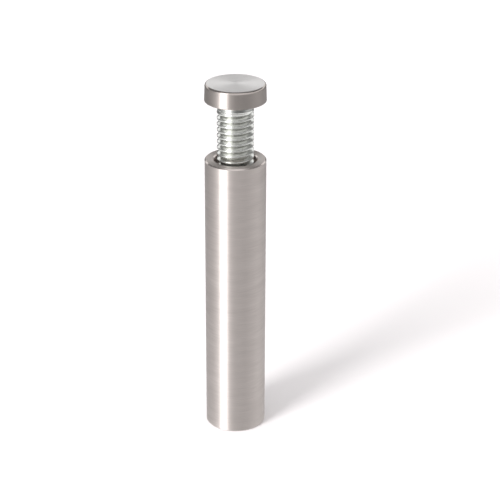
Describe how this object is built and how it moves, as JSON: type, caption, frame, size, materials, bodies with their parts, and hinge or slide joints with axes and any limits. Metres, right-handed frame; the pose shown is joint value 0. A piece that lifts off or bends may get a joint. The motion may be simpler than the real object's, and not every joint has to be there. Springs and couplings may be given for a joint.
{
  "type": "glass panel standoff",
  "caption": "Round brushed steel standoff that clamps a drilled glass panel between the rim of its tube and a flat cap on a threaded stud.",
  "frame": {"origin": "middle of the tube's foot, on the surface that it is fixed to", "axes": "+Z along the tube's axis from the foot to the cap, +X to the right of the picture, -Y towards its camera"},
  "size_m": [0.0158, 0.0158, 0.0965],
  "materials": {
    "brushed_barrel": "fine brushed stainless steel, grain round the tube",
    "turned_cap": "turned and brushed stainless steel",
    "zinc_plate": "bright zinc-plated steel",
    "plated_insert": "zinc-plated steel",
    "gasket": "matt black rubber"
  },
  "bodies": {
    "barrel": {"barrel_tube": "brushed_barrel", "mouth_insert": "plated_insert", "base_insert": "plated_insert"},
    "washer": {"panel_gasket": "gasket"},
    "capped_stud": {"cap": "turned_cap", "stud": "zinc_plate"}
  },
  "joints": [
    {"name": "cap_travel", "type": "slide", "parent": "barrel", "child": "washer", "axis": [0, 0, 1], "range_m": [-0.01545, 0.00874]},
    {"name": "cap_turn", "type": "hinge", "parent": "washer", "child": "capped_stud", "pos_m": [0, 0, 0.084], "axis": [0, 0, 1], "range_deg": [-3502.8, 1980]}
  ],
  "couplings": [
    {"joint": "cap_travel", "follows": "cap_turn", "m_per_rad": 0.00025266}
  ]
}
